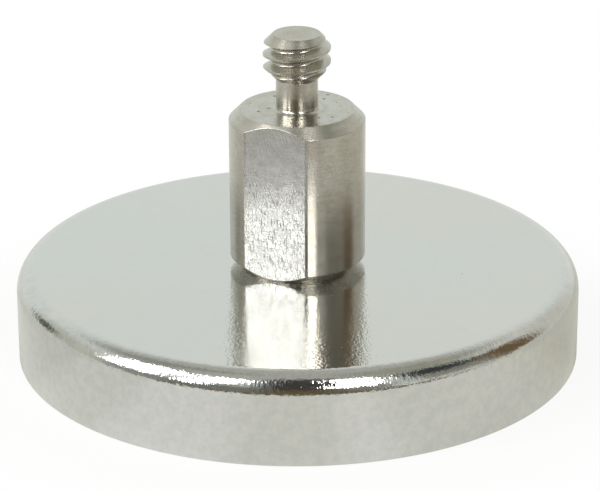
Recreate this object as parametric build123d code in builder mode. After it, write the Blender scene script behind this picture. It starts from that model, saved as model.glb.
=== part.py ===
from build123d import *
from build123d.topology import SkipClean

import os
from math import ceil, radians, tan

# A pot magnet: a nickel-plated steel cup holds a ferrite ring in resin, and a machine screw
# through the cup clamps a turned post that ends in a 1/4-20 UNC stud.
# Millimetres. The origin is the centre of the gripping face, on the axis, and +Z runs up
# the axis from the gripping face to the end of the stud. The post's flats face +Y and -Y.

FULL_TURN = 360.0

# Cup, pressed from sheet steel with its mouth down
cup_diameter = 53.0
cup_height = 8.6
cup_wall = 2.0
cup_base = 2.2
cup_outer_corner = 2.0

# Ferrite ring, ground flat on both faces
magnet_bore = 22.0
magnet_recess = 0.2
magnet_edge_break = 0.4

# Resin between the ferrite ring and the cup's wall
resin_width = 2.0
resin_recess = 0.7

# Post, turned from half-inch bar, with two wrench flats 7/16 inch apart along its whole length
post_diameter = 12.7
post_length = 15.35
post_across_flats = 11.1125
post_chamfer = 1.0

# Relief groove between the post's shoulder and the thread
neck_diameter = 3.9
neck_length = 2.95
neck_fillet = 0.4
runout_angle = 45.0

# Stud, 1/4-20 UNC, class 2A, with a flat root
stud_length = 7.25
thread_major = 6.3
thread_minor = 4.78
thread_pitch = 1.27
thread_angle = 60.0
thread_crest = thread_pitch / 8
thread_top_chamfer = 0.94
thread_crest_turn = 21.7
thread_crest_height = 27.34
thread_sectors = 10
groove_overshoot = 0.04

# Machine screw, number 10-32 by 3/8 inch, and the holes that it passes through and into.
# The screw and its tapped hole meet on the pitch cylinder, which stands for both threads.
screw_major = 4.83
screw_pitch_diameter = 4.31
screw_clearance = 0.5
screw_length = 9.525
screw_head_diameter = 9.1
screw_head_height = 3.1
screw_head_chamfer = 1.3
screw_tip_chamfer = 0.5
recess_width = 1.35
recess_span = 5.0
recess_depth = 2.0
recess_taper = 12.0
tap_depth = 9.5
tap_drill_angle = 118.0
tap_mouth_chamfer = 0.3

cup_radius = cup_diameter / 2
cup_bore_radius = cup_radius - cup_wall
cup_ceiling = cup_height - cup_base
screw_hole_radius = (screw_major + screw_clearance) / 2
magnet_radius = cup_bore_radius - resin_width
magnet_bore_radius = magnet_bore / 2
post_radius = post_diameter / 2
shoulder_height = cup_height + post_length
neck_radius = neck_diameter / 2
neck_top = shoulder_height + neck_length
thread_radius = thread_major / 2
stud_top = shoulder_height + stud_length
screw_radius = screw_pitch_diameter / 2


with BuildPart() as cup:
    with BuildSketch(Plane.XZ) as cup_section:
        with BuildLine():
            Polyline(
                (screw_hole_radius, cup_height),
                (cup_radius, cup_height),
                (cup_radius, 0),
                (cup_bore_radius, 0),
                (cup_bore_radius, cup_ceiling),
                (screw_hole_radius, cup_ceiling),
                close=True,
            )
        make_face()
        outer_corner = cup_section.vertices().sort_by_distance((cup_radius, cup_height))[0]
        fillet(outer_corner, cup_outer_corner)
    revolve(axis=Axis.Z)
cup.part.label = "cup"

with BuildPart() as ring_magnet:
    with BuildSketch(Plane.XZ) as magnet_section:
        with BuildLine():
            Polyline(
                (magnet_bore_radius, magnet_recess),
                (magnet_radius, magnet_recess),
                (magnet_radius, cup_ceiling),
                (magnet_bore_radius, cup_ceiling),
                close=True,
            )
        make_face()
        chamfer(magnet_section.vertices(), magnet_edge_break)
    revolve(axis=Axis.Z)
ring_magnet.part.label = "ring_magnet"

# The resin fills the gap up to the ceiling, round the ferrite's broken edge.
with BuildPart() as resin_ring:
    with BuildSketch(Plane.XZ):
        with BuildLine():
            Polyline(
                (magnet_radius, resin_recess),
                (cup_bore_radius, resin_recess),
                (cup_bore_radius, cup_ceiling),
                (magnet_radius - magnet_edge_break, cup_ceiling),
                (magnet_radius, cup_ceiling - magnet_edge_break),
                close=True,
            )
        make_face()
    revolve(axis=Axis.Z)
resin_ring.part.label = "resin_ring"


# One sector of the stud's blank, with the cones that end the thread at its foot and its tip.
# The sectors divide the finished crest into short lands, each a face that a gauge can find.
with BuildPart() as stud_sector:
    with BuildSketch(Plane.XZ):
        runout = (thread_radius - neck_radius) / tan(radians(runout_angle))
        with BuildLine():
            Polyline(
                (0, neck_top),
                (neck_radius, neck_top),
                (thread_radius, neck_top + runout),
                (thread_radius, stud_top - thread_top_chamfer),
                (thread_radius - thread_top_chamfer, stud_top),
                (0, stud_top),
                close=True,
            )
        make_face()
    revolve(axis=Axis.Z, revolution_arc=FULL_TURN / thread_sectors)


# One turn of the thread's groove: a 60 degree vee with a flat root, swept up a helix.
# The helix starts over +X, below the thread, and is set so that the crest one and a half
# pitches above that start passes thread_crest_height where it comes round to thread_crest_turn.
root_radius = thread_minor / 2
groove_depth = thread_radius - root_radius
flank_slope = tan(radians(thread_angle / 2))
mouth_half = (thread_pitch - thread_crest) / 2
root_half = mouth_half - groove_depth * flank_slope
open_half = mouth_half + groove_overshoot * flank_slope
crest_over_x = thread_crest_height - thread_pitch * thread_crest_turn / FULL_TURN
groove_start = crest_over_x - thread_pitch / 2 - thread_pitch
groove_turns = ceil((stud_top + mouth_half - groove_start) / thread_pitch)
with BuildPart() as groove_turn:
    with BuildLine() as groove_path:
        Helix(thread_pitch, thread_pitch, root_radius, center=(0, 0, groove_start))
    groove_plane = Plane(
        origin=groove_path.line @ 0,
        x_dir=(1, 0, 0),
        z_dir=groove_path.line % 0,
    )
    with BuildSketch(groove_plane):
        with BuildLine():
            Polyline(
                (0, -root_half),
                (groove_depth + groove_overshoot, -open_half),
                (groove_depth + groove_overshoot, open_half),
                (0, root_half),
                close=True,
            )
        make_face()
    sweep(path=groove_path.line, is_frenet=True)


with BuildPart() as post:
    # the body and its relief groove, turned
    with BuildSketch(Plane.XZ) as post_section:
        with BuildLine():
            Polyline(
                (0, cup_height),
                (post_radius - post_chamfer, cup_height),
                (post_radius, cup_height + post_chamfer),
                (post_radius, shoulder_height - post_chamfer),
                (post_radius - post_chamfer, shoulder_height),
                (neck_radius, shoulder_height),
                (neck_radius, neck_top),
                (0, neck_top),
                close=True,
            )
        make_face()
        neck_foot = post_section.vertices().sort_by_distance((neck_radius, shoulder_height))[0]
        fillet(neck_foot, neck_fillet)
    revolve(axis=Axis.Z)

    # the two wrench flats, milled the whole length of the body
    with BuildSketch(Plane.XY.offset(cup_height)):
        milled_depth = post_radius - post_across_flats / 2
        with Locations(
            (0, post_across_flats / 2 + milled_depth / 2),
            (0, -post_across_flats / 2 - milled_depth / 2),
        ):
            Rectangle(post_diameter, milled_depth)
    extrude(amount=post_length, mode=Mode.SUBTRACT)

    # the tapped hole for the screw, drilled to a point and countersunk at its mouth
    with BuildSketch(Plane.XZ):
        drill_point = screw_radius / tan(radians(tap_drill_angle / 2))
        with BuildLine():
            Polyline(
                (0, cup_height),
                (screw_radius + tap_mouth_chamfer, cup_height),
                (screw_radius, cup_height + tap_mouth_chamfer),
                (screw_radius, cup_height + tap_depth),
                (0, cup_height + tap_depth + drill_point),
                close=True,
            )
        make_face()
    revolve(axis=Axis.Z, mode=Mode.SUBTRACT)

    # The stud is built up sector by sector, and its groove is cut one turn above another. The
    # faces stay as they are cut, because merging them would join the lands again.
    with SkipClean():
        with PolarLocations(0, thread_sectors, thread_crest_turn):
            add(stud_sector.part)
        for turn in range(groove_turns):
            with Locations((0, 0, turn * thread_pitch)):
                add(groove_turn.part, mode=Mode.SUBTRACT)
post.part.label = "post"


# The screw hangs head down in the ferrite's bore and bears on the cup's ceiling.
with BuildPart() as screw:
    screw_head_face = cup_ceiling - screw_head_height
    screw_tip = cup_ceiling + screw_length
    with BuildSketch(Plane.XZ) as screw_section:
        with BuildLine():
            Polyline(
                (0, screw_head_face),
                (screw_head_diameter / 2, screw_head_face),
                (screw_head_diameter / 2, cup_ceiling),
                (screw_radius, cup_ceiling),
                (screw_radius, screw_tip - screw_tip_chamfer),
                (screw_radius - screw_tip_chamfer, screw_tip),
                (0, screw_tip),
                close=True,
            )
        make_face()
        head_edge = screw_section.vertices().sort_by_distance(
            (screw_head_diameter / 2, screw_head_face)
        )[0]
        chamfer(head_edge, screw_head_chamfer)
    revolve(axis=Axis.Z)

    # the cross recess for the driver
    with BuildSketch(Plane.XY.offset(screw_head_face)):
        Rectangle(recess_span, recess_width)
        Rectangle(recess_width, recess_span)
    extrude(amount=recess_depth, taper=recess_taper, mode=Mode.SUBTRACT)
screw.part.label = "screw"


os.makedirs("parts", exist_ok=True)
export_step(cup.part, "parts/cup.step")
export_step(ring_magnet.part, "parts/ring_magnet.step")
export_step(resin_ring.part, "parts/resin_ring.step")
export_step(post.part, "parts/post.step")
export_step(screw.part, "parts/screw.step")
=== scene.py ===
import logging
from collections.abc import Callable, Iterable, Iterator, Sequence
from contextlib import contextmanager
from dataclasses import dataclass, field
from enum import Enum
from math import acos, asin, ceil, cos, degrees, pi, radians, sin, tan

import bmesh
import bpy
from mathutils import Matrix, Quaternion, Vector


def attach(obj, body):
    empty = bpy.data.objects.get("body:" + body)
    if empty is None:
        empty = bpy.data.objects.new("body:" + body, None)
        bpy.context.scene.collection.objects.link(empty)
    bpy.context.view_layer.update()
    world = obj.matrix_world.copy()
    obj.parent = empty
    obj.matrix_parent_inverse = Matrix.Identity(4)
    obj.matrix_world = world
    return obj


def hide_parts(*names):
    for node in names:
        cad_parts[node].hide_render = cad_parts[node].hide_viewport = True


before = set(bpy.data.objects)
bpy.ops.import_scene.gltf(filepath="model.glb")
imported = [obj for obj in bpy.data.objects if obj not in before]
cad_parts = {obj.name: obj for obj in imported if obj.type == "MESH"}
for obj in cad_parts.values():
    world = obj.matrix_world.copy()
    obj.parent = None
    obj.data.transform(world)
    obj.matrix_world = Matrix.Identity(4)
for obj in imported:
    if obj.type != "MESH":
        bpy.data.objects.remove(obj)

LOG = logging.getLogger("pot_magnet")
BODY = "root"
MM = 0.001
FULL_TURN = 360.0
IN_DEGREES = 180 / pi
UP = Vector((0, 0, 1))

Socket = bpy.types.NodeSocket
Colour = tuple[float, float, float]
Span = tuple[float, float]
Profile = Sequence[tuple[float, float]]
Place = Callable[[Vector, Vector], bool]
Settings = dict[str, object]
Inputs = dict[str | int, object]

WHITE: Colour = (1.0, 1.0, 1.0)


# ---------------------------------------------------------------- shader wiring


class Signal:
    """A number that runs along a wire of a node tree. Python's operators add Math nodes."""

    def __init__(self, graph: "Graph", socket: Socket) -> None:
        """Wraps an output socket of the graph."""
        self.graph = graph
        self.socket = socket

    def maths(self, operation: str, *others: "Number") -> "Signal":
        """Adds a Math node that takes this number and the others, and gives its result."""
        inputs = dict(enumerate((self, *others)))
        return self.graph.signal("ShaderNodeMath", {"operation": operation}, inputs)

    def __add__(self, other: "Number") -> "Signal":
        """Sum."""
        return self.maths("ADD", other)

    def __sub__(self, other: "Number") -> "Signal":
        """Difference."""
        return self.maths("SUBTRACT", other)

    def __rsub__(self, other: float) -> "Signal":
        """Difference from a number on the left."""
        return self.maths("MULTIPLY", -1.0).maths("ADD", other)

    def __mul__(self, other: "Number") -> "Signal":
        """Product."""
        return self.maths("MULTIPLY", other)

    def __abs__(self) -> "Signal":
        """Absolute value."""
        return self.maths("ABSOLUTE")

    __radd__ = __add__
    __rmul__ = __mul__

    def ramp(self, low: float, high: float) -> "Signal":
        """A smooth step.

        Args:
            low: where the step starts, at 0.
            high: where it ends, at 1. It may be below low, and then the step falls.

        Returns:
            The stepped number.
        """
        settings = {"interpolation_type": "SMOOTHSTEP"}
        start, end = (0.0, 1.0) if low < high else (1.0, 0.0)
        inputs = {"Value": self, "From Min": min(low, high), "From Max": max(low, high)}
        inputs |= {"To Min": start, "To Max": end}
        return self.graph.signal("ShaderNodeMapRange", settings, inputs)

    def window(self, low: float, high: float, edge: float) -> "Signal":
        """A smooth bump, whose sides lie at low and high and are twice as wide as edge."""
        return self.ramp(low - edge, low + edge) * self.ramp(high + edge, high - edge)


Number = Signal | float


@dataclass(frozen=True)
class Texture:
    """A noise: its features to a unit of space, its finer layers and their strength.

    Its mask rises from 0 to 1 over the span of the noise's values.
    """

    density: float
    layers: float = 2.0
    strength: float = 0.5
    span: Span = (0.0, 1.0)


@dataclass(frozen=True)
class Dots:
    """Scattered dots: how many lie to a unit of space, and each one's outer and inner rim.

    Where chosen is given, a place has a dot only if its random number is past that ramp.
    """

    density: float
    rim: Span
    chosen: Span | None = None


class Graph:
    """A node tree that is emptied and then wired from Python."""

    def __init__(self, tree: bpy.types.NodeTree) -> None:
        """Empties a material's or a world's node tree."""
        self.tree = tree
        tree.nodes.clear()

    def node(
        self, kind: str, settings: Settings | None = None, inputs: Inputs | None = None
    ) -> bpy.types.Node:
        """Adds a node of any kind.

        Args:
            kind: the node's type.
            settings: its own settings, which are set first.
            inputs: the value, or the link, of each socket that is named or numbered.

        Returns:
            The node.
        """
        node = self.tree.nodes.new(kind)
        for name, setting in (settings or {}).items():
            setattr(node, name, setting)
        for name, value in (inputs or {}).items():
            socket = node.inputs[name]
            source = value.socket if isinstance(value, Signal) else value
            if isinstance(source, Socket):
                self.tree.links.new(source, socket)
            elif socket.type == "RGBA":
                socket.default_value = (*value, 1.0)
            else:
                socket.default_value = value
        return node

    def signal(self, kind: str, settings: Settings, inputs: Inputs) -> Signal:
        """Adds a node and takes its first output as a number."""
        return Signal(self, self.node(kind, settings, inputs).outputs[0])

    def split(self, vector: Socket) -> tuple[Signal, ...]:
        """Splits a vector into its three numbers."""
        parts = self.node("ShaderNodeSeparateXYZ", {}, {0: vector}).outputs
        return tuple(Signal(self, part) for part in parts)

    def joined(self, x: Number, y: Number, z: Number) -> Socket:
        """Makes a vector of three numbers."""
        return self.node("ShaderNodeCombineXYZ", {}, {0: x, 1: y, 2: z}).outputs[0]

    def scaled(self, vector: Socket, factors: tuple[float, float, float]) -> Socket:
        """Stretches a vector by a factor along each axis."""
        inputs = {0: vector, 1: factors}
        return self.node("ShaderNodeVectorMath", {"operation": "MULTIPLY"}, inputs).outputs[0]

    def blend(self, share: Number, low: Socket | Colour, high: Socket | Colour) -> Socket:
        """Mixes two colours. The share is how much of the second one shows."""
        inputs = {0: share, 6: low, 7: high}
        return self.node("ShaderNodeMix", {"data_type": "RGBA"}, inputs).outputs[2]

    def rays(self, *kinds: str) -> tuple[Signal, ...]:
        """For each kind of ray, such as Camera, a signal that is 1 on its rays alone."""
        paths = self.node("ShaderNodeLightPath").outputs
        return tuple(Signal(self, paths[f"Is {kind} Ray"]) for kind in kinds)

    def noise(self, vector: Socket, texture: Texture) -> Signal:
        """Smooth noise around 0.5.

        Args:
            vector: where it is read.
            texture: what it is like.

        Returns:
            The noise, from 0 to 1.
        """
        inputs = {
            "Vector": vector,
            "Scale": texture.density,
            "Detail": texture.layers,
            "Roughness": texture.strength,
        }
        return self.signal("ShaderNodeTexNoise", {"noise_dimensions": "3D"}, inputs)

    def ripple(self, vector: Socket, texture: Texture) -> Signal:
        """The noise less its middle, so that it is around 0."""
        return self.noise(vector, texture) - 0.5

    def mask(self, vector: Socket, texture: Texture) -> Signal:
        """The noise pushed apart, to 0 below the texture's span and 1 above it."""
        return self.noise(vector, texture).ramp(*texture.span)

    def dots(self, vector: Socket, dots: Dots) -> Signal:
        """Scattered dots.

        Args:
            vector: where they are read.
            dots: what they are like.

        Returns:
            The mask, which is 1 in a dot.
        """
        inputs = {"Vector": vector, "Scale": dots.density}
        cell = self.node("ShaderNodeTexVoronoi", {"feature": "F1"}, inputs).outputs
        mask = Signal(self, cell["Distance"]).ramp(*dots.rim)
        if dots.chosen:
            mask = mask * Signal(self, cell["Color"]).ramp(*dots.chosen)
        return mask


# ---------------------------------------------------------------- finishes


@dataclass(frozen=True)
class Spot:
    """Where a point of a surface lies on the part, in millimetres."""

    vector: Socket
    x: Signal
    y: Signal
    z: Signal
    radius: Signal


@dataclass(frozen=True)
class Finish:
    """A surface finish. Each kind of finish says how its colour, sheen and relief vary.

    Lengths are in millimetres. In each kind, a share or a stain says how strongly one layer
    tells beside the others, a dull says how much roughness it adds, a draw below 1 stretches
    it along an axis, and a seed keeps it from following another. What is called a colour is
    a layer's own, and any other tone multiplies the finish's colour.
    """

    name: str
    slot: str
    colour: Colour
    roughness: float
    metallic: float = 1.0
    constants: dict[str, float] = field(default_factory=dict)

    def wire(self, graph: Graph, spot: Spot) -> dict[str, object]:
        """Wires what varies over the surface.

        Args:
            graph: the material's tree.
            spot: where the surface's point lies.

        Returns:
            The links by shader socket. "Relief" is a height in millimetres.
        """
        raise NotImplementedError

    def toned(self, factors: Colour) -> Colour:
        """The finish's own colour, with each channel multiplied by a factor."""
        return tuple(channel * factor for channel, factor in zip(self.colour, factors))

    def material(self) -> bpy.types.Material:
        """Builds the finish.

        Returns:
            The material.
        """
        material = bpy.data.materials.new(self.name)
        material.use_nodes = True
        material.diffuse_color = (*self.colour, 1.0)
        graph = Graph(material.node_tree)
        place = graph.node("ShaderNodeTexCoord").outputs["Object"]
        vector = graph.scaled(place, (1 / MM, 1 / MM, 1 / MM))
        x, y, z = graph.split(vector)
        radius = (x * x + y * y).maths("SQRT")
        links = self.wire(graph, Spot(vector, x, y, z, radius))
        bump = {"Height": links.pop("Relief"), "Distance": MM, "Strength": 1.0}
        links["Normal"] = graph.node("ShaderNodeBump", {}, bump).outputs[0]
        values = {"Base Color": self.colour, "Metallic": self.metallic}
        values |= {"Roughness": self.roughness} | self.constants | links
        shader = graph.node("ShaderNodeBsdfPrincipled", {}, values)
        graph.node("ShaderNodeOutputMaterial", {}, {"Surface": shader.outputs[0]})
        return material


@dataclass(frozen=True)
class NickelPlate(Finish):
    """Bright plating over pressed steel, with fine orange peel that grows over the bend."""

    bend_start: float = 24.5
    bend_fade: float = 1.0
    side_start: float = 6.7
    side_fade: float = 1.2
    peel: Texture = Texture(1 / 0.34, 1.0)
    grain: Texture = Texture(1.9 / 0.34, 1.0)
    grain_share: float = 0.8
    peel_height: float = 0.0135
    bend_gain: float = 1.3
    side_gain: float = 0.5
    swell: Texture = Texture(0.22, 1.0)
    swell_height: float = 0.0012
    haze: Texture = Texture(0.12, 3.0, 0.6, (0.35, 0.75))
    haze_dull: float = 0.03
    wipes: Texture = Texture(1.0, 4.0, 0.65, (0.5, 0.8))
    wipe_draw: tuple[float, float, float] = (0.15, 1.1, 0.4)
    wipe_dull: float = 0.02
    bend_dull: float = 0.03
    specks: Dots = Dots(0.16, (0.026, 0.016))
    speck_share: float = 0.75
    speck_dull: float = 0.3
    speck_colour: Colour = (0.10, 0.09, 0.07)
    warmth: Texture = Texture(0.05, 2.0, 0.5, (0.35, 0.65))
    warm: Colour = (1.015, 0.995, 0.965)
    mottle: Texture = Texture(1.1, 5.0, 0.7, (0.36, 0.64))
    mottle_flat: float = 0.15
    mottled: Colour = (0.92, 0.92, 0.92)

    def wire(self, graph: Graph, spot: Spot) -> dict[str, object]:
        """Wires orange peel, wiping haze, mottle and specks.

        Args:
            graph: the material's tree.
            spot: where the surface's point lies.

        Returns:
            The links by shader socket.
        """
        worked = spot.radius.ramp(self.bend_start, self.bend_start + self.bend_fade)
        side = worked * spot.z.ramp(self.side_start, self.side_start - self.side_fade)
        gain = worked * (self.bend_gain - 1.0) - side * (self.bend_gain - self.side_gain) + 1.0
        peel = graph.ripple(spot.vector, self.peel)
        grain = graph.ripple(spot.vector, self.grain)
        swell = graph.ripple(spot.vector, self.swell)
        relief = (peel + grain * self.grain_share) * gain * self.peel_height
        haze = graph.mask(spot.vector, self.haze)
        wiped = graph.mask(graph.scaled(spot.vector, self.wipe_draw), self.wipes)
        rough = haze * self.haze_dull + wiped * self.wipe_dull + self.roughness
        speck = graph.dots(spot.vector, self.specks) * (1.0 - worked)
        warmth = graph.mask(spot.vector, self.warmth)
        mottle = graph.mask(spot.vector, self.mottle)
        mottle = mottle * (worked * (1.0 - self.mottle_flat) + self.mottle_flat)
        plate = graph.blend(warmth, self.colour, self.toned(self.warm))
        plate = graph.blend(mottle, plate, self.toned(self.mottled))
        return {
            "Base Color": graph.blend(speck * self.speck_share, plate, self.speck_colour),
            "Roughness": rough + worked * self.bend_dull + speck * self.speck_dull,
            "Relief": relief + swell * self.swell_height,
        }


@dataclass(frozen=True)
class TurnedStainless(Finish):
    """Stainless bar stock with the feed marks of the lathe."""

    feed: Texture = Texture(4.0, 2.0, 0.7)
    feed_draw: float = 0.2
    feed_stain: float = 0.8
    feed_height: float = 0.0020
    grain: Texture = Texture(5.0, 2.0, 0.6)
    grain_stain: float = 0.6
    grain_height: float = 0.0030
    uneven_dull: float = 0.1
    tarnish: Texture = Texture(0.5, 4.0, 0.7, (0.2, 0.8))
    tarnished: Colour = (0.84, 0.81, 0.74)

    def wire(self, graph: Graph, spot: Spot) -> dict[str, object]:
        """Wires feed marks, a fine grain and tarnish.

        Args:
            graph: the material's tree.
            spot: where the surface's point lies.

        Returns:
            The links by shader socket.
        """
        side = graph.joined(spot.x * self.feed_draw, spot.y * self.feed_draw, spot.z)
        feed = graph.ripple(side, self.feed)
        grain = graph.ripple(spot.vector, self.grain)
        stain = graph.noise(spot.vector, self.tarnish) + feed * self.feed_stain
        stain = (stain + grain * self.grain_stain).ramp(*self.tarnish.span)
        uneven = abs(feed) * self.uneven_dull + grain * self.uneven_dull
        return {
            "Base Color": graph.blend(stain, self.colour, self.toned(self.tarnished)),
            "Roughness": uneven + self.roughness,
            "Relief": feed * self.feed_height + grain * self.grain_height,
        }


@dataclass(frozen=True)
class FacedStainless(Finish):
    """The same bar where the lathe has faced it, with rings, pits and a dull bloom."""

    rings: Texture = Texture(4.5, 2.0, 0.6)
    ring_draw: float = 0.03
    ring_stain: float = 0.5
    ring_dull: float = 0.1
    ring_height: float = 0.0020
    grain: Texture = Texture(5.0, 3.0, 0.7)
    grain_stain: float = 0.3
    grain_height: float = 0.0036
    pits: Dots = Dots(1.1, (0.22, 0.14), (0.46, 0.50))
    pits_within: Span = (5.2, 5.0)
    pits_below: Span = (24.6, 24.4)
    # The pits' dark colour is painted shade in them.
    pit_shade_share: float = 0.9
    pit_depth: float = 0.01
    pit_shade_colour: Colour = (0.08, 0.06, 0.04)
    bloom: Texture = Texture(0.9, 4.0, 0.7, (0.4, 0.65))
    bloomed: Colour = (0.90, 0.87, 0.80)
    bloom_dull: float = 0.06
    dull_span: Span = (0.3, 0.7)
    tip_from: Span = (31.0, 31.15)
    tip_within: Span = (1.9, 0.5)
    tip_share: float = 0.22
    tip_middle: float = 0.3
    tip_rings: float = 0.5
    tip_colour: Colour = (0.34, 0.29, 0.20)

    def wire(self, graph: Graph, spot: Spot) -> dict[str, object]:
        """Wires facing rings, grain, pits with painted shade, and a darker, browner stud end.

        Args:
            graph: the material's tree.
            spot: where the surface's point lies.

        Returns:
            The links by shader socket.
        """
        turned = graph.joined(spot.radius, spot.x * self.ring_draw, spot.y * self.ring_draw)
        ring = graph.ripple(turned, self.rings)
        grain = graph.ripple(spot.vector, self.grain)
        pit = graph.dots(spot.vector, self.pits) * spot.radius.ramp(*self.pits_within)
        pit = pit * spot.z.ramp(*self.pits_below)
        bloom = graph.noise(spot.vector, self.bloom) + ring * self.ring_stain
        bloom = bloom + grain * self.grain_stain
        # The stud's end face is darker and browner, most in its middle.
        tip = spot.radius.ramp(*self.tip_within) * self.tip_middle + ring * self.tip_rings
        tip = spot.z.ramp(*self.tip_from) * (tip + self.tip_share)
        steel = graph.blend(bloom.ramp(*self.bloom.span), self.colour, self.toned(self.bloomed))
        steel = graph.blend(tip, steel, self.tip_colour)
        uneven = bloom.ramp(*self.dull_span) * self.bloom_dull + abs(ring) * self.ring_dull
        relief = ring * self.ring_height + grain * self.grain_height - pit * self.pit_depth
        return {
            # The pits get painted shade.
            "Base Color": graph.blend(pit * self.pit_shade_share, steel, self.pit_shade_colour),
            "Roughness": uneven + self.roughness,
            "Relief": relief,
        }


@dataclass(frozen=True)
class MilledStainless(Finish):
    """The same bar where a cutter has faced its flats, with the arcs of its cuts."""

    centre_x: float = 90.0
    centre_z: float = 4.0
    cuts: Texture = Texture(6.8, 1.0)
    cut_draw: float = 0.16
    cut_seed: float = 5.0
    cut_depth: float = 0.028
    hairs: Texture = Texture(9.0, 1.0)
    hair_draw: float = 0.12
    hair_seed: float = 9.0
    hair_share: float = 0.2
    lay: Texture = Texture(6.0, 1.0)
    lay_draw: float = 0.12
    lay_seed: float = 2.0
    lay_share: float = 0.3
    grain: Texture = Texture(5.0, 1.0)
    grain_share: float = 0.3
    drag_height: float = 12.0
    drag_slope: float = 0.04
    drag_half: float = 0.03
    drag_share: float = 0.15
    # Below this height the flat mirrors the lamps: its cuts run deeper and their painted shade
    # is stronger.
    lit_below: float = 19.0
    lit_fade: float = 1.5
    upper_depth: float = 0.65
    groove_lay: float = 0.5
    groove_hairs: float = 0.3
    # Painted shade in the cutter's grooves, stronger towards the foot.
    groove_span: Span = (-0.09, -0.20)
    groove_shade_share: float = 0.08
    groove_shade_low: float = 0.45
    groove_shade_colour: Colour = (0.12, 0.12, 0.11)
    wear: Texture = Texture(0.8, 3.0, 0.6, (0.3, 0.7))
    mark_stain: float = 0.4
    wear_dull: float = 0.04
    worn: Colour = (0.86, 0.86, 0.86)

    def wire(self, graph: Graph, spot: Spot) -> dict[str, object]:
        """Wires the cutter's arcs, deeper towards the foot, hairlines, a drag line and wear.

        The grooves get painted shade, strongest towards the foot, where the flat is brightest.

        Args:
            graph: the material's tree.
            spot: where the surface's point lies.

        Returns:
            The links by shader socket.
        """
        across, along = spot.x + self.centre_x, spot.z - self.centre_z
        sweep = (across * across + along * along).maths("SQRT")
        turn = along.maths("ARCTAN2", across) * self.centre_x
        cut_at = graph.joined(sweep, self.cut_seed, turn * self.cut_draw)
        hair_at = graph.joined(sweep, self.hair_seed, turn * self.hair_draw)
        lay_at = graph.joined(spot.x * self.lay_draw, self.lay_seed, spot.z)
        cuts = graph.ripple(cut_at, self.cuts)
        hairs = graph.ripple(hair_at, self.hairs)
        lay = graph.ripple(lay_at, self.lay)
        grain = graph.ripple(spot.vector, self.grain)
        drag = spot.z + spot.x * self.drag_slope - self.drag_height
        drag = drag.window(-self.drag_half, self.drag_half, self.drag_half)
        marks = cuts + hairs * self.hair_share + lay * self.lay_share + grain * self.grain_share
        marks = marks - drag * self.drag_share
        low = spot.z.ramp(self.lit_below + self.lit_fade, self.lit_below - self.lit_fade)
        wear = graph.noise(spot.vector, self.wear) + marks * self.mark_stain
        # Painted shade in the grooves, strongest towards the foot, where the flat is brightest.
        groove = cuts + lay * self.groove_lay + hairs * self.groove_hairs
        groove = groove.ramp(*self.groove_span) * (low * self.groove_shade_low + self.groove_shade_share)
        steel = graph.blend(wear.ramp(*self.wear.span), self.colour, self.toned(self.worn))
        depth = low * (1.0 - self.upper_depth) + self.upper_depth
        return {
            "Base Color": graph.blend(groove, steel, self.groove_shade_colour),
            "Roughness": wear * self.wear_dull + self.roughness,
            "Relief": marks * depth * self.cut_depth,
        }


@dataclass(frozen=True)
class GroundFerrite(Finish):
    """Hard ferrite, ground flat on its faces and left as pressed in its bore."""

    lines: Texture = Texture(5.0, 4.0, 0.7, (0.3, 0.7))
    line_draw: float = 0.05
    line_depth_draw: float = 0.3
    line_dull: float = 0.18
    line_height: float = 0.004
    pores: Dots = Dots(2.4, (0.30, 0.12), (0.6, 0.8))
    pore_dull: float = 0.2
    pore_depth: float = 0.03
    # The pores' dark colour is painted shade in them.
    pore_shade_colour: Colour = (0.010, 0.010, 0.010)
    grain: Texture = Texture(14.0, 3.0, 0.6)
    grain_dull: float = 0.08
    grain_height: float = 0.003
    cloud: Texture = Texture(0.3, 4.0, 0.6, (0.3, 0.75))
    clouded: Colour = (1.7, 1.7, 1.7)

    def wire(self, graph: Graph, spot: Spot) -> dict[str, object]:
        """Wires grinding lines, pores with painted shade in them, and a change of grey.

        Args:
            graph: the material's tree.
            spot: where the surface's point lies.

        Returns:
            The links by shader socket.
        """
        ground = graph.joined(spot.x * self.line_draw, spot.y, spot.z * self.line_depth_draw)
        lines = graph.noise(ground, self.lines)
        pore = graph.dots(spot.vector, self.pores)
        grain = graph.noise(spot.vector, self.grain)
        cloud = graph.mask(spot.vector, self.cloud)
        grey = graph.blend(cloud, self.colour, self.toned(self.clouded))
        rough = lines.ramp(*self.lines.span) * self.line_dull + grain * self.grain_dull
        relief = lines * self.line_height + grain * self.grain_height - pore * self.pore_depth
        return {
            # The pores get painted shade.
            "Base Color": graph.blend(pore, grey, self.pore_shade_colour),
            "Roughness": rough + pore * self.pore_dull + self.roughness,
            "Relief": relief,
        }


@dataclass(frozen=True)
class PouredResin(Finish):
    """Filled casting resin, glossy where it cured against the air."""

    waves: Texture = Texture(0.9)
    wave_dull: float = 0.10
    bubbles: Dots = Dots(1.3, (0.16, 0.08))
    relief_height: float = 0.05
    dust: Texture = Texture(6.0, 5.0, 0.8, (0.60, 0.78))
    dust_share: float = 0.5
    dust_dull: float = 0.35
    dust_grey: float = 0.05

    def wire(self, graph: Graph, spot: Spot) -> dict[str, object]:
        """Wires slow waves, bubbles and dust.

        Args:
            graph: the material's tree.
            spot: where the surface's point lies.

        Returns:
            The links by shader socket.
        """
        wave = graph.noise(spot.vector, self.waves)
        bubble = graph.dots(spot.vector, self.bubbles)
        dust = graph.mask(spot.vector, self.dust)
        grey = tuple(channel + self.dust_grey for channel in self.colour)
        return {
            "Base Color": graph.blend(dust * self.dust_share, self.colour, grey),
            "Roughness": dust * self.dust_dull + wave * self.wave_dull + self.roughness,
            "Relief": wave * self.relief_height - bubble * self.relief_height,
        }


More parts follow.
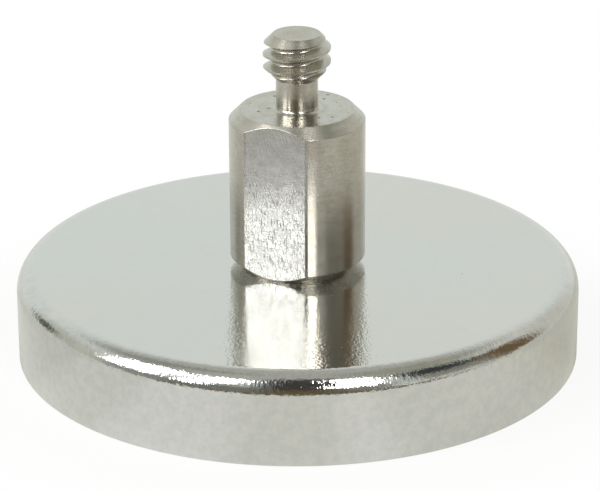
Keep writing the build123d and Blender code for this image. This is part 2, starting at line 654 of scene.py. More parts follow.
@dataclass(frozen=True)
class ZincPlate(Finish):
    """Clear-passivated zinc on a cold-headed screw."""

    film: Texture = Texture(0.8, 3.0, 0.6, (0.35, 0.7))
    film_dull: float = 0.12
    grain: Texture = Texture(9.0, 3.0, 0.6)
    grain_dull: float = 0.10
    grain_height: float = 0.003
    tint: Colour = (0.94, 0.98, 1.04)
    straw: Colour = (1.04, 1.0, 0.86)

    def wire(self, graph: Graph, spot: Spot) -> dict[str, object]:
        """Wires the passivation's tints and the headed surface's dimples.

        Args:
            graph: the material's tree.
            spot: where the surface's point lies.

        Returns:
            The links by shader socket.
        """
        film = graph.noise(spot.vector, self.film)
        grain = graph.noise(spot.vector, self.grain)
        shown = film.ramp(*self.film.span)
        return {
            "Base Color": graph.blend(shown, self.toned(self.tint), self.toned(self.straw)),
            "Roughness": film * self.film_dull + grain * self.grain_dull + self.roughness,
            "Relief": grain * self.grain_height,
        }


# ---------------------------------------------------------------- the bench


class Pick(Enum):
    """What a selection is made of."""

    VERTICES = "verts"
    EDGES = "edges"
    FACES = "faces"


class Workpiece:
    """A mesh that is shaped with edit-mode tools. Its object stays at the origin.

    A point within NEAR or CLOSE of a place, in millimetres, counts as being there, and a face
    whose normal has more than FACING along an axis looks that way. Vertices closer than MERGE,
    in metres, are one, and faces that bend by less than FLAT, in degrees, are joined. ROUND is
    the bevel's profile that is an arc of a circle.
    """

    NEAR = 0.1
    CLOSE = 0.01
    FACING = 0.5
    MERGE = 1e-7
    FLAT = 0.02
    ROUND = 0.5

    def __init__(self, name: str) -> None:
        """Takes the primitive that has just been added.

        Args:
            name: the piece's name.
        """
        self.obj = bpy.context.object
        self.obj.name = self.obj.data.name = name
        bpy.ops.object.transform_apply(location=True, rotation=True, scale=True)

    @staticmethod
    def clear() -> None:
        """Deselects everything, so that an operator acts on one piece alone."""
        if bpy.context.object and bpy.context.object.mode != "OBJECT":
            bpy.ops.object.mode_set(mode="OBJECT")
        bpy.ops.object.select_all(action="DESELECT")

    @classmethod
    def circle(
        cls, name: str, radius: float, height: float, sides: int, filled: bool
    ) -> "Workpiece":
        """Starts from a circle.

        Args:
            name: the piece's name.
            radius: in millimetres.
            height: where it lies on the axis, in millimetres.
            sides: the number of its sides.
            filled: whether it has a face.

        Returns:
            The piece.
        """
        cls.clear()
        bpy.ops.mesh.primitive_circle_add(
            vertices=sides,
            radius=radius * MM,
            fill_type="NGON" if filled else "NOTHING",
            location=(0, 0, height * MM),
        )
        return cls(name)

    @classmethod
    def cylinder(
        cls, name: str, radius: float, low: float, high: float, sides: int
    ) -> "Workpiece":
        """Starts from a cylinder.

        Args:
            name: the piece's name.
            radius: in millimetres.
            low: the height of its lower end, in millimetres.
            high: the height of its upper end, in millimetres.
            sides: the number of its sides.

        Returns:
            The piece.
        """
        cls.clear()
        bpy.ops.mesh.primitive_cylinder_add(
            vertices=sides,
            radius=radius * MM,
            depth=(high - low) * MM,
            location=(0, 0, (low + high) / 2 * MM),
        )
        return cls(name)

    @classmethod
    def block(cls, name: str, size: Vector, centre: Vector) -> "Workpiece":
        """Starts from a rectangular block.

        Args:
            name: the piece's name.
            size: its three sides, in millimetres.
            centre: its middle, in millimetres.

        Returns:
            The piece.
        """
        cls.clear()
        bpy.ops.mesh.primitive_cube_add(size=1.0, location=centre * MM, scale=size * MM)
        return cls(name)

    def hold(self) -> None:
        """Selects this piece alone, for the operator that follows."""
        self.clear()
        self.obj.select_set(True)
        bpy.context.view_layer.objects.active = self.obj

    @contextmanager
    def editing(self) -> Iterator[None]:
        """Opens edit mode for the tools in the block."""
        self.hold()
        bpy.ops.object.mode_set(mode="EDIT")
        yield
        bpy.ops.object.mode_set(mode="OBJECT")

    @staticmethod
    def pick_all() -> None:
        """Selects the whole mesh, in edit mode."""
        bpy.ops.mesh.select_all(action="SELECT")

    def pick(self, kind: Pick, test: Place) -> None:
        """Selects by place and normal, in edit mode.

        Args:
            kind: what to select.
            test: takes a corner in millimetres and a normal, which is zero for an edge. What
                it says yes to at every corner is selected.
        """
        modes = tuple(kind is each for each in Pick)
        bpy.context.tool_settings.mesh_select_mode = modes
        bpy.ops.mesh.select_all(action="DESELECT")
        mesh = bmesh.from_edit_mesh(self.obj.data)
        for item in getattr(mesh, kind.value):
            corners = [item] if kind is Pick.VERTICES else item.verts
            normal = Vector() if kind is Pick.EDGES else item.normal
            if all(test(corner.co / MM, normal) for corner in corners):
                item.select_set(True)
        mesh.select_flush_mode()
        bmesh.update_edit_mesh(self.obj.data)

    def climb(self, start: tuple[float, float], profile: Profile) -> None:
        """Draws the selected ring along a profile, as on a lathe.

        Args:
            start: the ring's radius and height, in millimetres.
            profile: the radius and height of each ring that follows.
        """
        radius, height = start
        for next_radius, next_height in profile:
            rise = (0, 0, (next_height - height) * MM)
            bpy.ops.mesh.extrude_region_move(TRANSFORM_OT_translate={"value": rise})
            share = next_radius / radius
            bpy.ops.transform.resize(
                value=(share, share, 1), center_override=(0, 0, next_height * MM)
            )
            radius, height = next_radius, next_height

    def inset(self, width: float) -> None:
        """Draws the selected face's outline inwards by a width in millimetres."""
        bpy.ops.mesh.inset(thickness=width * MM)

    def bridge(self, test: Place) -> None:
        """Joins the two rings of edges that the test picks, in edit mode."""
        self.pick(Pick.EDGES, test)
        bpy.ops.mesh.bridge_edge_loops()

    def bevel(self, test: Place, width: float, segments: int) -> None:
        """Rounds the edges that the test picks.

        Args:
            test: picks the edges by both of their ends.
            width: how far the bevel reaches, in millimetres.
            segments: the number of its strips.
        """
        self.pick(Pick.EDGES, test)
        bpy.ops.mesh.bevel(
            offset_type="OFFSET",
            offset=width * MM,
            segments=segments,
            profile=self.ROUND,
            affect="EDGES",
            clamp_overlap=False,
        )

    def modify(self, kind: str, **settings: object) -> None:
        """Adds a modifier and applies it at once.

        Args:
            kind: the modifier's type.
            settings: its settings.
        """
        self.hold()
        modifier = self.obj.modifiers.new(kind.title(), kind)
        for name, value in settings.items():
            setattr(modifier, name, value)
        bpy.ops.object.modifier_apply(modifier=modifier.name)

    def cut(self, *tools: "Workpiece") -> None:
        """Cuts tools out of the piece and throws them away.

        Args:
            tools: closed meshes, each of which is removed from this one.
        """
        for tool in tools:
            self.modify("BOOLEAN", operation="DIFFERENCE", object=tool.obj, solver="EXACT")
            bpy.data.objects.remove(tool.obj)

    def finish(self, crease: float) -> bpy.types.Object:
        """Merges, turns the faces outwards and shades smooth where the surface bends gently.

        Args:
            crease: edges that bend by more than this stay sharp, in degrees.

        Returns:
            The finished object.
        """
        flat = radians(self.FLAT)
        with self.editing():
            self.pick_all()
            bpy.ops.mesh.remove_doubles(threshold=self.MERGE)
            bpy.ops.mesh.dissolve_degenerate(threshold=self.MERGE)
            bpy.ops.mesh.dissolve_limited(angle_limit=flat, use_dissolve_boundaries=False)
            bpy.ops.mesh.normals_make_consistent(inside=False)
        self.hold()
        bpy.ops.object.shade_smooth_by_angle(angle=radians(crease), keep_sharp_edges=False)
        return self.obj


def arc(
    centre: tuple[float, float], radius: float, start: float, end: float, steps: int
) -> list[tuple[float, float]]:
    """Points of an arc in a profile.

    Args:
        centre: the arc's centre, as a radius and a height.
        radius: the arc's own radius.
        start: the angle of its first point, in degrees from the outward direction.
        end: the angle of its last point.
        steps: the number of its chords.

    Returns:
        The points, both ends included.
    """
    turns = [radians(start + (end - start) * step / steps) for step in range(steps + 1)]
    return [(centre[0] + radius * cos(turn), centre[1] + radius * sin(turn)) for turn in turns]


# ---------------------------------------------------------------- the pot


@dataclass(frozen=True)
class Pot:
    """The plated cup with its ferrite ring, resin and screw, in millimetres and degrees."""

    cup_radius: float = 26.5
    cup_height: float = 8.6
    cup_wall: float = 2.0
    cup_base: float = 2.2
    corner: float = 2.0
    corner_strips: int = 20
    flat_margin: float = 0.05
    rim_round: float = 0.18
    rim_strips: int = 3
    cup_crease: float = 40.0
    hole_radius: float = 2.665
    magnet_radius: float = 22.5
    magnet_bore: float = 11.0
    magnet_recess: float = 0.2
    magnet_break: float = 0.4
    resin_recess: float = 0.7
    resin_sag: float = 0.22
    resin_chords: int = 8
    ring_crease: float = 30.0
    screw_radius: float = 2.155
    screw_length: float = 9.525
    screw_crease: float = 35.0
    head_radius: float = 4.55
    head_height: float = 3.1
    head_land: float = 2.3
    head_edge: float = 1.1
    dome_turns: tuple[float, ...] = (12, 24, 36, 48, 60, 70, 80, 90)
    tip_break: float = 0.5
    recess_width: float = 1.35
    recess_span: float = 5.0
    recess_depth: float = 2.0
    recess_proud: float = 0.2
    recess_taper: float = 12.0
    sides: int = 384
    screw_sides: int = 96

    @property
    def ceiling(self) -> float:
        """Height of the cup's inside face."""
        return self.cup_height - self.cup_base

    def cup(self) -> bpy.types.Object:
        """Presses the cup: a solid puck is hollowed from below, pierced and rounded.

        Returns:
            The cup.
        """
        bore = self.cup_radius - self.cup_wall
        margin = self.corner + self.flat_margin
        piece = Workpiece.cylinder("cup_shell", self.cup_radius, 0, self.cup_height, self.sides)
        hole_edge, above = self.hole_radius + piece.NEAR, self.ceiling - piece.NEAR
        side, top = self.cup_radius - piece.NEAR, self.cup_height - piece.NEAR
        with piece.editing():
            piece.pick(Pick.FACES, lambda point, normal: normal.z < -piece.FACING)
            piece.inset(self.cup_wall)
            lift = {"value": (0, 0, self.ceiling * MM)}
            bpy.ops.mesh.extrude_region_move(TRANSFORM_OT_translate=lift)
            piece.inset(bore - self.hole_radius)
            bpy.ops.mesh.delete(type="ONLY_FACE")
            piece.pick(Pick.FACES, lambda point, normal: normal.z > piece.FACING)
            piece.inset(margin)
            piece.inset(self.cup_radius - margin - self.hole_radius)
            bpy.ops.mesh.delete(type="ONLY_FACE")
            piece.bridge(lambda point, normal: point.xy.length < hole_edge and point.z > above)
            piece.bevel(
                lambda point, normal: point.xy.length > side and point.z > top,
                self.corner,
                self.corner_strips,
            )
            piece.bevel(
                lambda point, normal: point.z < piece.CLOSE, self.rim_round, self.rim_strips
            )
        return piece.finish(self.cup_crease)

    def hoop(self, name: str, start: tuple[float, float], profile: Profile) -> Workpiece:
        """Turns a closed ring from a profile.

        Args:
            name: the piece's name.
            start: the first point, as a radius and a height.
            profile: the points that follow. The last one is joined to the first.

        Returns:
            The ring.
        """
        piece = Workpiece.circle(name, *start, self.sides, filled=False)
        ends = (start, profile[-1])
        with piece.editing():
            piece.pick_all()
            piece.climb(start, profile)
            piece.bridge(
                lambda point, normal: any(
                    abs(point.xy.length - radius) < piece.CLOSE
                    and abs(point.z - height) < piece.CLOSE
                    for radius, height in ends
                )
            )
        return piece

    def ferrite(self) -> bpy.types.Object:
        """Turns the ferrite ring with its broken edges.

        Returns:
            The ring.
        """
        low, high, broken = self.magnet_recess, self.ceiling, self.magnet_break
        inner, outer = self.magnet_bore, self.magnet_radius
        profile = [
            (inner, high - broken),
            (inner + broken, high),
            (outer - broken, high),
            (outer, high - broken),
            (outer, low + broken),
            (outer - broken, low),
            (inner + broken, low),
            (inner, low + broken),
        ]
        return self.hoop("ferrite_ring", profile[0], profile[1:]).finish(self.ring_crease)

    def resin(self) -> bpy.types.Object:
        """Pours the resin, whose free face sags between the walls that it wets.

        Returns:
            The resin.
        """
        inner, outer = self.magnet_radius, self.cup_radius - self.cup_wall
        middle, half = (inner + outer) / 2, (outer - inner) / 2
        curve = (half * half + self.resin_sag**2) / (2 * self.resin_sag)
        lean = degrees(asin(half / curve))
        centre = (middle, self.resin_recess + self.resin_sag - curve)
        face = arc(centre, curve, 90 + lean, 90 - lean, self.resin_chords)
        back = [
            (outer, self.ceiling),
            (inner - self.magnet_break, self.ceiling),
            (inner, self.ceiling - self.magnet_break),
        ]
        return self.hoop("resin_fill", face[0], face[1:] + back).finish(self.ring_crease)

    def screw(self) -> bpy.types.Object:
        """Heads the screw and presses the driver's recess into it.

        Returns:
            The screw.
        """
        face = self.ceiling - self.head_height
        edge = face + self.head_edge
        drop = self.head_radius - self.head_land
        turns = [radians(turn) for turn in self.dome_turns]
        tip = self.ceiling + self.screw_length
        profile = [
            *((self.head_land + drop * sin(t), edge - self.head_edge * cos(t)) for t in turns),
            (self.head_radius, self.ceiling),
            (self.screw_radius, self.ceiling),
            (self.screw_radius, tip - self.tip_break),
            (self.screw_radius - self.tip_break, tip),
        ]
        start = (self.head_land, face)
        piece = Workpiece.circle("fixing_screw", *start, self.screw_sides, filled=True)
        with piece.editing():
            piece.pick_all()
            piece.climb(start, profile)
        piece.cut(*(self.driver_wing(face, turned) for turned in (False, True)))
        return piece.finish(self.screw_crease)

    def driver_wing(self, face: float, turned: bool) -> Workpiece:
        """One of the two crossed wedges that press the recess.

        Args:
            face: the height of the screw's face.
            turned: whether it lies along Y instead of X.

        Returns:
            The wedge.
        """
        height = self.recess_depth + self.recess_proud
        size = Vector((self.recess_span, self.recess_width, height))
        if turned:
            size = Vector((size.y, size.x, size.z))
        centre = Vector((0, 0, face + (self.recess_depth - self.recess_proud) / 2))
        piece = Workpiece.block("driver_wing", size, centre)
        narrowed = height * tan(radians(self.recess_taper)) * 2
        shares = ((size.x - narrowed) / size.x, (size.y - narrowed) / size.y, 1)
        with piece.editing():
            piece.pick(Pick.FACES, lambda point, normal: normal.z > piece.FACING)
            bpy.ops.transform.resize(value=shares, center_override=(0, 0, 0))
        return piece


# ---------------------------------------------------------------- the post


@dataclass(frozen=True)
class Post:
    """The turned post with its flats, neck and threaded stud, in millimetres and degrees."""

    foot: float = 8.6
    radius: float = 6.35
    length: float = 15.35
    chamfer: float = 1.0
    across_flats: float = 11.1125
    edge_break: float = 0.018
    edge_strips: int = 2
    edge_angle: float = 20.0
    flat_break: float = 0.15
    neck_radius: float = 1.95
    neck_length: float = 2.95
    neck_fillet: float = 0.4
    fillet_chords: int = 12
    stud_length: float = 7.25
    crest_radius: float = 3.15
    root_radius: float = 2.39
    top_chamfer: float = 0.94
    pitch: float = 1.27
    crest_share: float = 1 / 8
    thread_angle: float = 60.0
    crest_turn: float = 21.7
    crest_height: float = 27.34
    turns_below: float = 1.5
    root_round: float = 0.11
    root_strips: int = 3
    overshoot: float = 0.25
    crease: float = 10.0
    flat_share: float = 0.98
    flat_facing: float = 0.94
    fillet_share: float = 0.9
    end_facing: float = 0.2
    sides: int = 192

    @property
    def shoulder(self) -> float:
        """Height of the post's upper face."""
        return self.foot + self.length

    def profile(self) -> list[tuple[float, float]]:
        """The turned outline, from the foot to the stud's end.

        Returns:
            The radius and the height of each ring.
        """
        neck_top = self.shoulder + self.neck_length
        stud_top = self.shoulder + self.stud_length
        fillet = (self.neck_radius + self.neck_fillet, self.shoulder + self.neck_fillet)
        return [
            (self.radius - self.chamfer, self.foot),
            (self.radius, self.foot + self.chamfer),
            (self.radius, self.shoulder - self.chamfer),
            (self.radius - self.chamfer, self.shoulder),
            *arc(fillet, self.neck_fillet, 270, 180, self.fillet_chords),
            (self.neck_radius, neck_top),
            (self.crest_radius, neck_top + self.crest_radius - self.neck_radius),
            (self.crest_radius, stud_top - self.top_chamfer),
            (self.crest_radius - self.top_chamfer, stud_top),
        ]

    def milled_planes(self) -> list[tuple[float, float]]:
        """The planes of the flats, and of the broken edge that each leaves on one side.

        Returns:
            The turn of each plane's outward side from +Y, and its distance from the axis.
        """
        half = self.across_flats / 2
        lean = acos(half / self.radius) / 2
        broken = self.radius * cos(lean) - self.flat_break * sin(lean)
        return [(0, half), (pi, half), (lean, broken), (pi + lean, broken)]

    def thread_tool(self) -> Workpiece:
        """Sweeps the thread's groove up its helix, as one closed cutter.

        Returns:
            The cutter.
        """
        slope = tan(radians(self.thread_angle / 2))
        depth = self.crest_radius - self.root_radius
        mouth = (self.pitch - self.pitch * self.crest_share) / 2
        root = mouth - depth * slope
        outer = mouth + self.overshoot * slope
        crest_over_x = self.crest_height - self.pitch * self.crest_turn / FULL_TURN
        start = crest_over_x - self.turns_below * self.pitch
        turns = ceil((self.shoulder + self.stud_length + mouth - start) / self.pitch)
        reach = depth + self.overshoot
        middle = self.root_radius + reach / 2
        Workpiece.clear()
        bpy.ops.mesh.primitive_plane_add(size=1.0, rotation=(pi / 2, 0, 0))
        tool = Workpiece("thread_tool")
        inside = self.root_radius + tool.NEAR
        with tool.editing():
            tool.pick_all()
            bpy.ops.transform.resize(value=(reach * MM, 1, 2 * outer * MM))
            bpy.ops.transform.translate(value=(middle * MM, 0, start * MM))
            tool.pick(Pick.VERTICES, lambda point, normal: point.x < inside)
            share = (1, 1, root / outer)
            bpy.ops.transform.resize(value=share, center_override=(0, 0, start * MM))
            bpy.ops.mesh.bevel(
                affect="VERTICES",
                offset=self.root_round * MM,
                segments=self.root_strips,
                profile=tool.ROUND,
            )
            tool.pick_all()
            bpy.ops.mesh.delete(type="ONLY_FACE")
        tool.modify(
            "SCREW",
            axis="Z",
            angle=2 * pi,
            screw_offset=self.pitch * MM,
            iterations=turns,
            steps=self.sides,
            render_steps=self.sides,
            use_merge_vertices=False,
        )
        with tool.editing():
            tool.pick_all()
            bpy.ops.mesh.remove_doubles(threshold=tool.MERGE)
            bpy.ops.mesh.fill_holes(sides=0)
            tool.pick_all()
            bpy.ops.mesh.normals_make_consistent(inside=False)
        return tool

    def build(self) -> bpy.types.Object:
        """Turns the post, mills its flats, breaks its edges and cuts its thread.

        Returns:
            The post.
        """
        rings = self.profile()
        piece = Workpiece.circle("post_turned", *rings[0], self.sides, filled=True)
        with piece.editing():
            piece.pick_all()
            piece.climb(rings[0], rings[1:])
            for turn, reach in self.milled_planes():
                outward = Vector((-sin(turn), cos(turn), 0))
                piece.pick_all()
                bpy.ops.mesh.bisect(
                    plane_co=outward * reach * MM,
                    plane_no=outward,
                    use_fill=True,
                    clear_outer=True,
                    threshold=piece.MERGE,
                )
        piece.modify(
            "BEVEL",
            width=self.edge_break * MM,
            segments=self.edge_strips,
            limit_method="ANGLE",
            angle_limit=radians(self.edge_angle),
            use_clamp_overlap=True,
            harden_normals=False,
        )
        piece.cut(self.thread_tool())
        return piece.finish(self.crease)

    def machine(self, piece: bpy.types.Object, milled: Finish, faced: Finish) -> None:
        """Gives the flats and the smoother turned faces their own finishes.

        Args:
            piece: the finished post, which is all turned along its side so far.
            milled: the finish of its flats.
            faced: the finish of its end faces, chamfers and thread.
        """
        flat_reach = self.across_flats / 2 * self.flat_share * MM
        neck_reach = (self.neck_radius + self.neck_fillet * self.fillet_share) * MM
        stud_foot = (self.shoulder + self.neck_length) * MM
        finishes = piece.data.materials
        milled_index = len(finishes)
        finishes.append(milled.material())
        faced_index = len(finishes)
        finishes.append(faced.material())
        for face in piece.data.polygons:
            normal, centre = face.normal, face.center
            steep = abs(normal.z) > self.end_facing and centre.xy.length > neck_reach
            if abs(normal.y) > self.flat_facing and abs(centre.y) > flat_reach:
                face.material_index = milled_index
            elif steep or centre.z > stud_foot:
                face.material_index = faced_index


# ---------------------------------------------------------------- the studio


def stand(
    name: str, data: bpy.types.ID, place: Vector, right: Vector, top: Vector, ahead: Vector
) -> bpy.types.Object:
    """Stands a camera or a lamp in the scene.

    Args:
        name: its name.
        data: the camera's or the lamp's own settings.
        place: where it stands, in metres.
        right: its own right.
        top: its own top.
        ahead: the way it faces.

    Returns:
        The camera or the lamp.
    """
    stood = bpy.data.objects.new(name, data)
    bpy.context.scene.collection.objects.link(stood)
    stood.location = place
    stood.rotation_mode = "QUATERNION"
    stood.rotation_quaternion = Matrix((right, top, -ahead)).transposed().to_quaternion()
    return stood


@dataclass(frozen=True)
class Viewpoint:
    """Where the camera stands, in millimetres and degrees, and its reach in metres."""

    turn: float = 21.7
    elevation: float = 22.964
    distance: float = 293.59
    aim: float = 5.0
    pan: float = -0.0401
    tilt: float = 0.9511
    roll: float = 0.2464
    focal_pixels: float = 3094.07
    width_pixels: float = 600.0
    sensor: float = 36.0
    reach: Span = (0.01, 50.0)

    def place(self) -> bpy.types.Object:
        """Sets the camera up and makes it the scene's own.

        Returns:
            The camera.
        """
        turn, rise = radians(self.turn), radians(self.elevation)
        back = Vector((sin(turn) * cos(rise), -cos(turn) * cos(rise), sin(rise)))
        ahead = -back
        right = ahead.cross(UP).normalized()
        top = right.cross(ahead)
        for axis, angle in ((top, self.pan), (right, self.tilt), (ahead, self.roll)):
            spin = Quaternion(axis, radians(angle))
            ahead, right, top = spin @ ahead, spin @ right, spin @ top
        data = bpy.data.cameras.new("camera")
        data.sensor_fit = "HORIZONTAL"
        data.sensor_width = self.sensor
        data.lens = self.focal_pixels / self.width_pixels * self.sensor
        data.clip_start, data.clip_end = self.reach
        place = (Vector((0, 0, self.aim)) + back * self.distance) * MM
        camera = stand("camera", data, place, right, top, ahead)
        bpy.context.scene.camera = camera
        return camera


@dataclass(frozen=True)
class Patch:
    """A soft-edged part of the surroundings, in degrees round the camera's line of sight.

    Azimuth 0 is straight behind the part, and 90 is to its right as the camera sees it.
    """

    name: str
    azimuth: Span
    elevation: Span
    edge: float
    colour: Colour


@dataclass(frozen=True)
class LightBand:
    """A stretch of the floor that reflections see with painted light or shade, in degrees round
    the part.

    A turn of 0 is toward the camera, and 90 is to its right.
    """

    span: Span
    edge: float
    tone: Colour


@dataclass(frozen=True)
class Softbox:
    """A soft lamp one metre from the part, in degrees as in Patch and in metres."""

    name: str
    azimuth: float
    elevation: float
    size: Span
    glow: float


@dataclass(frozen=True)
class Studio:
    """A pale floor, a soft room, three softboxes and two strip lamps, in metres and degrees."""

    turn: float = 21.7
    ceiling: Colour = (0.56, 0.565, 0.525)
    ceiling_from: Span = (38, 58)
    sweep: Colour = (0.90, 0.945, 0.915)
    dimmed: float = 0.5
    patches: tuple[Patch, ...] = (
        Patch("ceiling_right", (45, 130), (50, 82), 12, (0.42, 0.425, 0.352)),
        Patch("ceiling_left", (-88, -45), (46, 82), 12, (0.38, 0.385, 0.345)),
        Patch("wall_right", (35, 78), (-12, 42), 12, (0.745, 0.735, 0.68)),
        Patch("wall_left", (-165, -50), (-12, 34), 12, (0.665, 0.665, 0.59)),
        Patch("camera", (-208, -162), (-4, 72), 8, (0.065, 0.06, 0.055)),
        Patch("camera_table", (-208, -162), (-8, 17), 7, (0.16, 0.125, 0.07)),
        # A patch of painted shade in the room, under the dark cloth.
        Patch("tripod", (96, 134), (6, 36), 8, (0.33, 0.32, 0.275)),
        Patch("dark_cloth", (96, 133), (28, 54), 7, (0.05, 0.06, 0.06)),
        Patch("cabinet", (71, 98), (1, 40), 6, (0.195, 0.135, 0.072)),
        Patch("lamp_foot_left", (-140, -98), (2, 14), 5, (0.30, 0.33, 0.32)),
        Patch("lamp_stand_left", (-166, -127), (-3, 25), 8, (0.22, 0.24, 0.22)),
        Patch("lamp_stand_right", (142, 164), (2, 29), 7, (0.28, 0.28, 0.25)),
        Patch("door_frame", (-67, -53), (3, 18), 4, (0.10, 0.13, 0.10)),
    )
    softboxes: tuple[Softbox, ...] = (
        Softbox("softbox_left", -109.5, 35, (0.37, 0.62), 7.0),
        Softbox("softbox_front_left", -143.5, 46, (0.19, 0.42), 7.0),
        Softbox("softbox_right", 153, 47, (0.15, 0.46), 13.0),
        Softbox("strip_front_left", -137, 23.5, (0.10, 0.24), 15.5),
        Softbox("strip_right", 158.3, 27, (0.28, 0.18), 10.0),
    )
    floor_size: float = 6.0
    floor_colour: Colour = (0.775, 0.785, 0.715)
    white_share: float = 0.90
    mirrored_share: float = 0.7
    mirrored: Colour = (0.87, 0.87, 0.82)
    fade: Span = (0.12, 0.5)
    clear: Span = (0.027, 0.045)
    table: Colour = (0.20, 0.15, 0.09)
    table_edge: Span = (0.060, 0.075)
    # Painted light and painted shade on the floor, which only reflections see.
    bands: tuple[LightBand, ...] = (
        LightBand((-120, -69), 6, (0.75, 0.75, 0.70)),
        LightBand((-43, -15), 7, (1.0, 1.0, 0.98)),
        LightBand((9, 21), 5, (0.99, 0.99, 0.96)),
        LightBand((67, 140), 13, (0.77, 0.76, 0.66)),
        LightBand((78, 140), 6, (0.68, 0.67, 0.585)),
    )

    def world(self) -> None:
        """Wires the room: a white sweep, a greyer ceiling and what stands and hangs in it."""
        world = bpy.data.worlds.new("room")
        bpy.context.scene.world = world
        world.use_nodes = True
        graph = Graph(world.node_tree)
        ray = graph.node("ShaderNodeTexCoord").outputs["Generated"]
        settings = {"rotation_type": "Z_AXIS"}
        inputs = {"Vector": ray, "Angle": -radians(self.turn)}
        x, y, z = graph.split(graph.node("ShaderNodeVectorRotate", settings, inputs).outputs[0])
        azimuth = x.maths("ARCTAN2", y) * IN_DEGREES
        elevation = z.maths("ARCSINE") * IN_DEGREES
        colour = graph.blend(elevation.ramp(*self.ceiling_from), self.sweep, self.ceiling)
        for patch in self.patches:
            low, high = patch.azimuth
            across = azimuth.window(low, high, patch.edge)
            if low < -FULL_TURN / 2:
                across = across + azimuth.window(low + FULL_TURN, high + FULL_TURN, patch.edge)
            share = across * elevation.window(*patch.elevation, patch.edge)
            colour = graph.blend(share, colour, patch.colour)
        camera, diffuse = graph.rays("Camera", "Diffuse")
        inputs = {
            "Color": graph.blend(camera, colour, WHITE),
            "Strength": 1.0 - diffuse * self.dimmed,
        }
        background = graph.node("ShaderNodeBackground", {}, inputs)
        graph.node("ShaderNodeOutputWorld", {}, {"Surface": background.outputs[0]})

    def floor(self) -> bpy.types.Object:
        """Lays the floor, which shows white and keeps the part's shadow.

        The camera sees it plain white from a short way round the part. Metal sees it a little
        darker than white, with bands of painted light and painted shade round the part, and as a
        brown table beyond the sheet's edge on the camera's side. Far off, it passes into the
        room's own brightness, so that no horizon shows.

        Returns:
            The floor.
        """
        Workpiece.clear()
        bpy.ops.mesh.primitive_plane_add(size=self.floor_size)
        floor = Workpiece("floor").obj
        material = bpy.data.materials.new("pale_floor")
        material.use_nodes = True
        graph = Graph(material.node_tree)
        camera, glossy, through, diffuse = graph.rays(
            "Camera", "Glossy", "Transmission", "Diffuse"
        )
        place = graph.node("ShaderNodeTexCoord").outputs["Object"]
        x, y = graph.split(place)[:2]
        length = graph.node("ShaderNodeVectorMath", {"operation": "LENGTH"}, {0: place})
        reach = Signal(graph, length.outputs["Value"])
        far = reach.ramp(*self.fade)
        sine, cosine = sin(radians(self.turn)), cos(radians(self.turn))
        ahead = x * sine - y * cosine
        aside = x * cosine + y * sine
        turn = aside.maths("ARCTAN2", ahead) * IN_DEGREES
        sheet = self.mirrored
        # Painted light and shade in bands round the part, for reflections alone.
        for band in self.bands:
            sheet = graph.blend(turn.window(*band.span, band.edge), sheet, band.tone)
        table = ahead.ramp(*self.table_edge)
        seen = graph.blend(table, graph.blend(far, sheet, self.sweep), self.table)
        shown = graph.blend(glossy, WHITE, seen)
        near = (camera + through) * self.white_share + glossy * self.mirrored_share
        plain = far.maths("MAXIMUM", table * glossy)
        plain = plain.maths("MAXIMUM", reach.ramp(*self.clear) * camera)
        share = (near + (1.0 - near) * plain) * (1.0 - diffuse)
        lit = graph.node("ShaderNodeBsdfDiffuse", {}, {"Color": self.floor_colour}).outputs[0]
        glow = graph.node("ShaderNodeEmission", {}, {"Color": shown, "Strength": 1.0}).outputs[0]
        mixed = graph.node("ShaderNodeMixShader", {}, {0: share, 1: lit, 2: glow}).outputs[0]
        graph.node("ShaderNodeOutputMaterial", {}, {"Surface": mixed})
        floor.data.materials.append(material)
        return floor

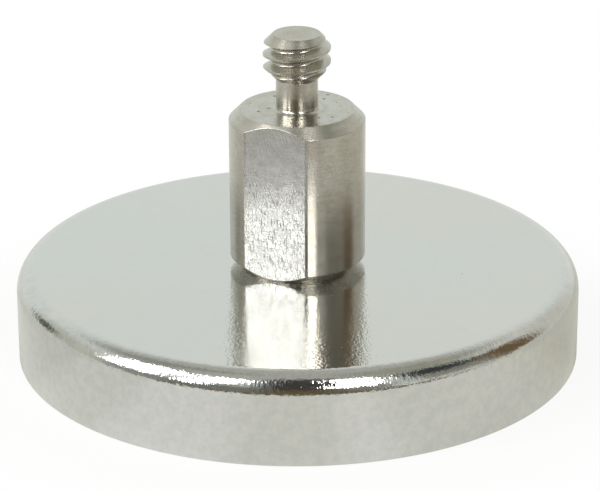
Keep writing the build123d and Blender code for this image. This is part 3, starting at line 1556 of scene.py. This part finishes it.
    def hang(self, softbox: Softbox) -> bpy.types.Object:
        """Hangs one softbox, aimed at the part.

        Args:
            softbox: where it hangs, how large it is and how brightly its face glows.

        Returns:
            The lamp.
        """
        turn, rise = radians(softbox.azimuth - self.turn), radians(softbox.elevation)
        out = Vector((sin(turn) * cos(rise), cos(turn) * cos(rise), sin(rise)))
        ahead = -out
        right = ahead.cross(UP).normalized()
        width, height = softbox.size
        data = bpy.data.lights.new(softbox.name, "AREA")
        data.shape = "RECTANGLE"
        data.size, data.size_y = width, height
        data.energy = softbox.glow * pi * width * height
        lamp = stand(softbox.name, data, out, right, right.cross(ahead), ahead)
        lamp.visible_camera = False
        return lamp

    def build(self) -> None:
        """Sets up the room, the floor and the lamps."""
        self.world()
        self.floor()
        for softbox in self.softboxes:
            self.hang(softbox)


# ---------------------------------------------------------------- the part


def dress(piece: bpy.types.Object, finish: Finish, nodes: Iterable[str]) -> None:
    """Gives a piece its finish and its place on the CAD model.

    Args:
        piece: the finished mesh.
        finish: what it is made of.
        nodes: the CAD nodes that it stands for.
    """
    piece.data.materials.clear()
    piece.data.materials.append(finish.material())
    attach(piece, BODY)
    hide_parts(*nodes)
    faces = len(piece.data.polygons)
    LOG.info("%s: %d faces, %s, for %s", piece.name, faces, finish.name, list(nodes))


def main() -> None:
    """Builds the studio and the part."""
    logging.basicConfig(level=logging.INFO, format="%(name)s: %(message)s")
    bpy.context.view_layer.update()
    bpy.context.scene.view_settings.view_transform = "Standard"
    Viewpoint().place()
    Studio().build()

    nickel = NickelPlate("bright_nickel", "nickel_plate", (0.62, 0.625, 0.61), 0.05)
    ferrite = GroundFerrite(
        "ground_ferrite", "ferrite", (0.040, 0.040, 0.042), 0.34, 0.0, {"IOR": 2.1}
    )
    resin = PouredResin("poured_resin", "resin", (0.018, 0.018, 0.020), 0.14, 0.0)
    steel = "turned_stainless"
    brushed = {"Anisotropic": 0.74, "Anisotropic Rotation": 0.25}
    turned = TurnedStainless("turned_steel", steel, (0.532, 0.516, 0.480), 0.23, 1.0, brushed)
    faced = FacedStainless("faced_steel", steel, (0.515, 0.505, 0.465), 0.22)
    milled = MilledStainless("milled_steel", steel, (0.494, 0.494, 0.480), 0.25)
    zinc = ZincPlate("zinc_plate", "zinc_plate", (0.62, 0.63, 0.64), 0.26)

    pot = Pot()
    dress(pot.cup(), nickel, ["cup"])
    dress(pot.ferrite(), ferrite, ["ring_magnet"])
    dress(pot.resin(), resin, ["resin_ring"])
    dress(pot.screw(), zinc, ["screw"])
    post = Post()
    piece = post.build()
    dress(piece, turned, ["post"])
    post.machine(piece, milled, faced)


if __name__ == "__main__":
    main()
